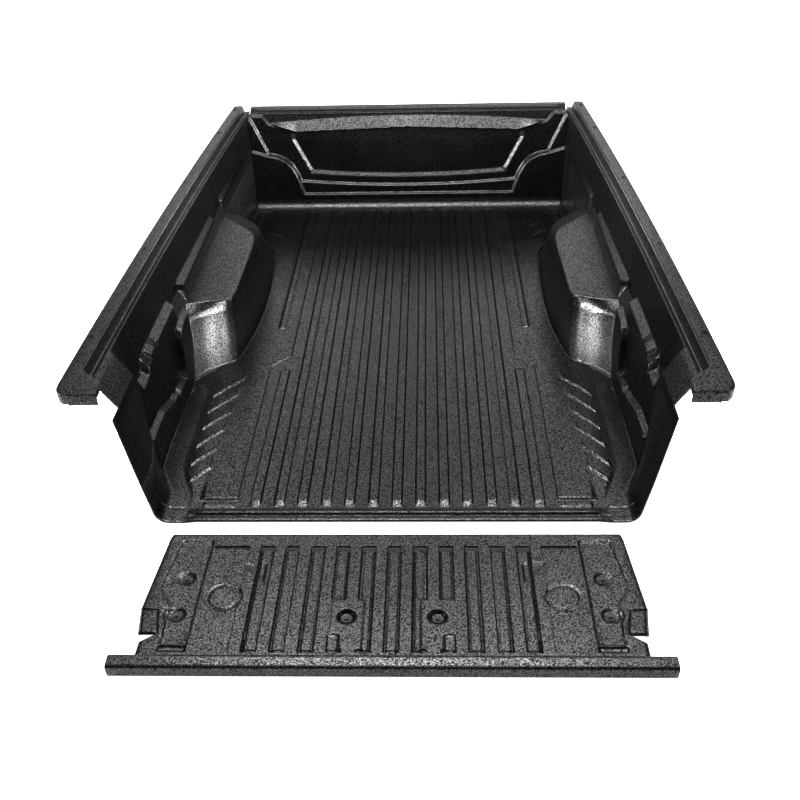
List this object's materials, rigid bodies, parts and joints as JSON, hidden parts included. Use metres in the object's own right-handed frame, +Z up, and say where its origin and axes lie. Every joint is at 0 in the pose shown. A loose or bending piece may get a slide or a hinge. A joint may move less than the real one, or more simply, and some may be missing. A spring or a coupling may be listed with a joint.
{
  "type": "truck bed liner",
  "caption": "Over-rail moulded pickup bed liner: ribbed floor, wheel arch covers, stepped walls and rail caps, with a hinged matching tailgate liner.",
  "frame": {"origin": "centre of the tub floor's underside, midway between the rear sill and the front wall, on the centre line", "axes": "+X to the truck's right seen from behind, +Y towards the front wall (the cab), +Z up out of the tub"},
  "size_m": [1.65, 2.78, 0.4404],
  "materials": {
    "tub_sheet": "fine-grained semi-gloss black polyethylene",
    "gate_sheet": "fine-grained semi-gloss black polyethylene",
    "foam": "closed-cell foam",
    "black_screw": "black-coated steel",
    "black_washer": "black-coated steel",
    "zinc_clip": "zinc-plated spring steel"
  },
  "bodies": {
    "tub": {"floor_panel": "tub_sheet", "rear_lip": "tub_sheet", "front_panel": "tub_sheet", "left_front_corner": "tub_sheet", "right_front_corner": "tub_sheet", "left_lower_wall": "tub_sheet", "right_lower_wall": "tub_sheet", "left_shoulder": "tub_sheet", "right_shoulder": "tub_sheet", "left_upper_wall": "tub_sheet", "right_upper_wall": "tub_sheet", "left_rear_post": "tub_sheet", "right_rear_post": "tub_sheet", "left_post_cap": "tub_sheet", "right_post_cap": "tub_sheet", "left_arch_cover": "tub_sheet", "right_arch_cover": "tub_sheet", "left_rail_cap": "tub_sheet", "right_rail_cap": "tub_sheet", "left_rail_foam": "foam", "right_rail_foam": "foam", "front_rail_cap": "tub_sheet", "front_rail_foam": "foam", "rail_screws": "black_screw", "rail_washers": "black_washer", "rail_clip_nuts": "zinc_clip"},
    "tailgate_liner": {"tailgate_panel": "gate_sheet", "tailgate_lip": "gate_sheet", "left_latch_flap": "gate_sheet", "right_latch_flap": "gate_sheet", "tailgate_foam": "foam", "tailgate_screws": "black_screw", "tailgate_cup_washers": "black_washer"}
  },
  "joints": [
    {"name": "tailgate_swing", "type": "hinge", "parent": "tub", "child": "tailgate_liner", "pos_m": [0, -1.1665, -0.012], "axis": [-1, 0, 0], "range_deg": [0, 90]}
  ]
}
